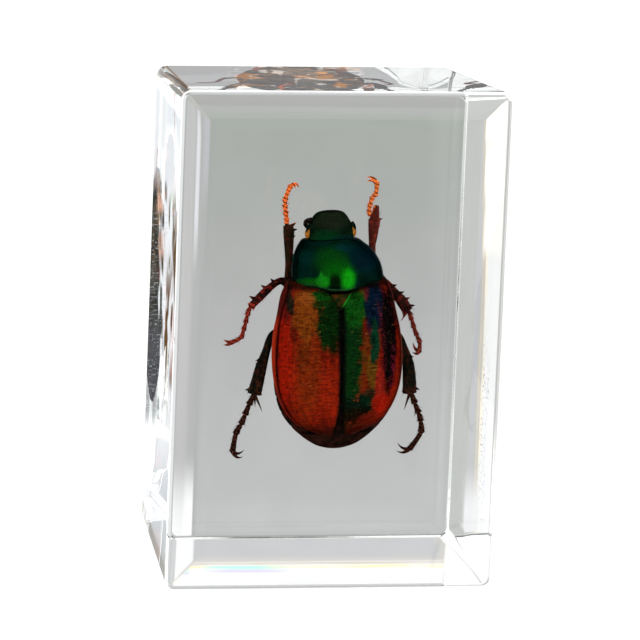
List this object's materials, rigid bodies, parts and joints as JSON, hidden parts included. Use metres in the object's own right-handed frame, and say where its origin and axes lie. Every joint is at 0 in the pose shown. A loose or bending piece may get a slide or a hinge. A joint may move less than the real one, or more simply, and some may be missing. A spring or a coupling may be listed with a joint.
{
  "type": "insect in resin block",
  "caption": "Green and red chafer beetle with spread legs, sealed in a clear rectangular resin block that lies flat as a paperweight or teaching specimen.",
  "frame": {"origin": "under the centre of the viewing face, on the surface that the block lies on", "axes": "+Z out of the viewing face, +Y towards the beetle's head, +X to the right of the view"},
  "size_m": [0.0282, 0.0428, 0.017],
  "materials": {
    "clear_resin": "polished clear cast resin",
    "red_wing_case": "glossy red and ochre beetle shell with fine grooves",
    "green_wing_case": "glossy green, blue and red beetle shell with fine grooves",
    "green_shell": "glossy dark green beetle shell",
    "dark_head": "satin green-black beetle shell",
    "maroon_body": "satin dark maroon beetle shell",
    "leg_brown": "satin red-brown beetle shell",
    "antenna_brown": "satin brown"
  },
  "bodies": {
    "root": {"resin_back": "clear_resin", "resin_front": "clear_resin", "head": "dark_head", "left_antenna": "antenna_brown", "right_antenna": "antenna_brown", "prothorax": "green_shell", "scutellum": "green_shell", "left_elytron": "red_wing_case", "right_elytron": "green_wing_case", "underbody": "maroon_body", "front_left_leg": "leg_brown", "front_right_leg": "leg_brown", "middle_left_leg": "leg_brown", "middle_right_leg": "leg_brown", "hind_left_leg": "leg_brown", "hind_right_leg": "leg_brown"}
  },
  "joints": []
}
